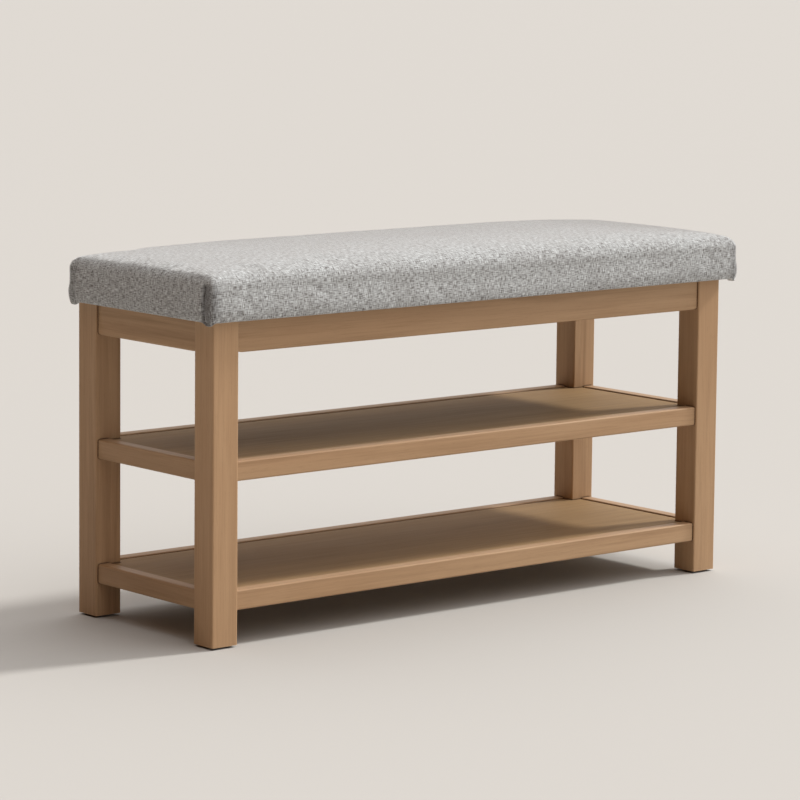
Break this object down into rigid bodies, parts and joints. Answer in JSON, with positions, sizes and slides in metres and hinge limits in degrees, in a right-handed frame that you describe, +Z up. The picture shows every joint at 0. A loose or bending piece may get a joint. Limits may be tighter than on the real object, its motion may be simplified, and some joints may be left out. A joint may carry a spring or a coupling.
{
  "type": "entryway bench",
  "caption": "Wooden entryway bench with square legs, open shelves for shoes under the seat, and a crowned fabric cushion top.",
  "frame": {"origin": "on the floor under the middle of the bench's outer box", "axes": "+X along the bench, +Y from its front to its rear, +Z up"},
  "size_m": [0.978, 0.33, 0.521],
  "materials": {
    "oak": "satin",
    "plain_wood": "matte",
    "plywood": "matte",
    "linen": "matte",
    "foam": "matte",
    "wadding": "matte",
    "dust_cloth": "matte",
    "steel": "satin",
    "glide": "matte"
  },
  "bodies": {
    "root": {"apron_front": "oak", "apron_left": "oak", "apron_rear": "oak", "apron_right": "oak", "block_screw_front_left_a": "steel", "block_screw_front_left_b": "steel", "block_screw_front_right_a": "steel", "block_screw_front_right_b": "steel", "block_screw_rear_left_a": "steel", "block_screw_rear_left_b": "steel", "block_screw_rear_right_a": "steel", "block_screw_rear_right_b": "steel", "corner_block_front_left": "plain_wood", "corner_block_front_right": "plain_wood", "corner_block_rear_left": "plain_wood", "corner_block_rear_right": "plain_wood", "dust_cover": "dust_cloth", "foot_glide_front_left": "glide", "foot_glide_front_right": "glide", "foot_glide_rear_left": "glide", "foot_glide_rear_right": "glide", "leg_front_left": "oak", "leg_front_right": "oak", "leg_rear_left": "oak", "leg_rear_right": "oak", "low_cleat_front": "plain_wood", "low_cleat_rear": "plain_wood", "low_cleat_screw_front_1": "steel", "low_cleat_screw_front_2": "steel", "low_cleat_screw_front_3": "steel", "low_cleat_screw_rear_1": "steel", "low_cleat_screw_rear_2": "steel", "low_cleat_screw_rear_3": "steel", "low_rail_front": "oak", "low_rail_left": "oak", "low_rail_rear": "oak", "low_rail_right": "oak", "low_shelf_panel": "oak", "mid_cleat_front": "plain_wood", "mid_cleat_rear": "plain_wood", "mid_cleat_screw_front_1": "steel", "mid_cleat_screw_front_2": "steel", "mid_cleat_screw_front_3": "steel", "mid_cleat_screw_rear_1": "steel", "mid_cleat_screw_rear_2": "steel", "mid_cleat_screw_rear_3": "steel", "mid_rail_front": "oak", "mid_rail_left": "oak", "mid_rail_rear": "oak", "mid_rail_right": "oak", "mid_shelf_panel": "oak", "seat_board": "plywood", "seat_cover": "linen", "seat_foam": "foam", "seat_screw_front_left": "steel", "seat_screw_front_right": "steel", "seat_screw_rear_left": "steel", "seat_screw_rear_right": "steel", "seat_wadding": "wadding"}
  },
  "joints": []
}
